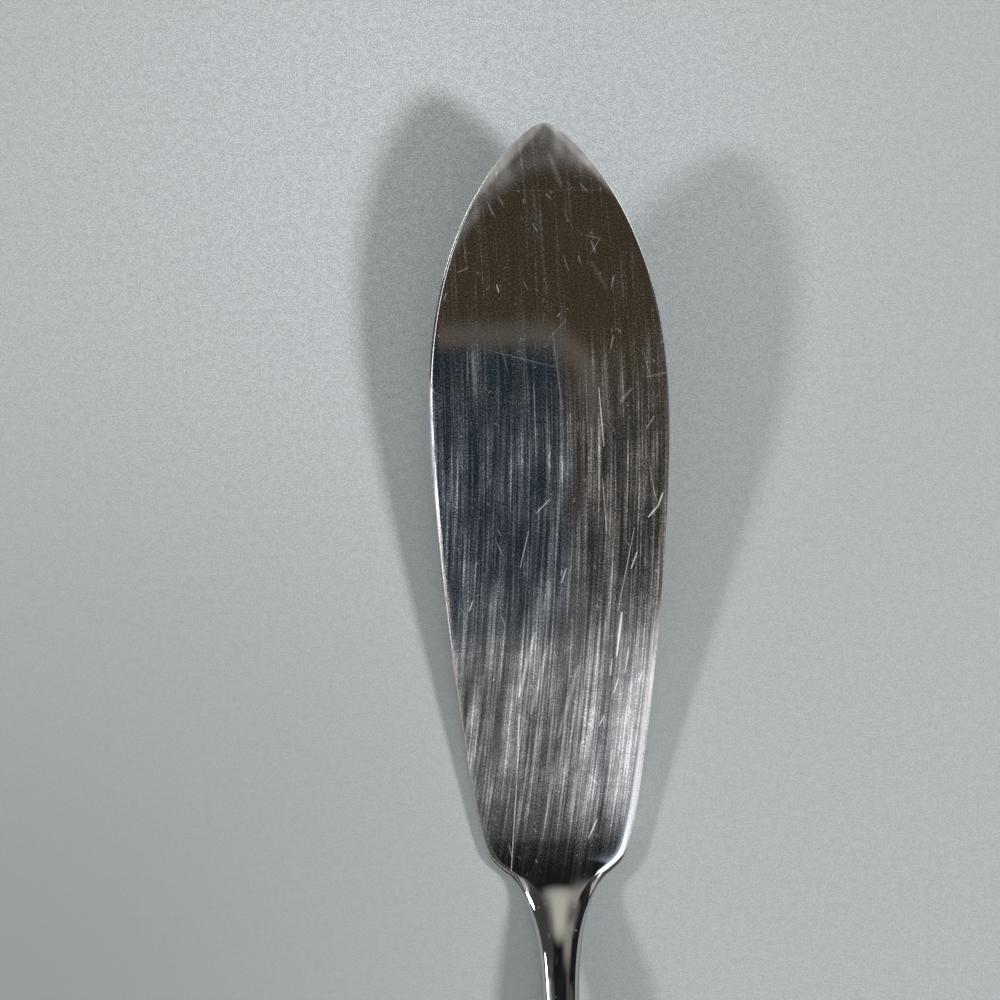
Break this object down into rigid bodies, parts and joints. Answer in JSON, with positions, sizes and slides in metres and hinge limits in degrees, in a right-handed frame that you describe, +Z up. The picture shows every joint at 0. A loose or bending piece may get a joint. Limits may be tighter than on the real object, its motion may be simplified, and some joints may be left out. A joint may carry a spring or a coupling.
{
  "type": "master butter knife",
  "caption": "Master butter knife with a leaf-shaped blade that sweeps up from its heel, a cranked neck and a hollow handle cemented to the tang.",
  "frame": {"origin": "centre of the knife's outline seen from above, on the surface that it lies on", "axes": "+Y along the knife from the handle to the blade's tip, +X across the blade, +Z up from the surface, towards the face that the picture shows"},
  "size_m": [0.0242, 0.1838, 0.0119],
  "materials": {
    "bright_steel": "polished",
    "handle_steel": "polished",
    "solder": "satin",
    "cement": "matte"
  },
  "bodies": {
    "root": {"blade": "bright_steel", "mouth_cap": "handle_steel", "handle_front_shell": "handle_steel", "handle_back_shell": "handle_steel", "seam_solder": "solder", "tang_cement": "cement"}
  },
  "joints": []
}
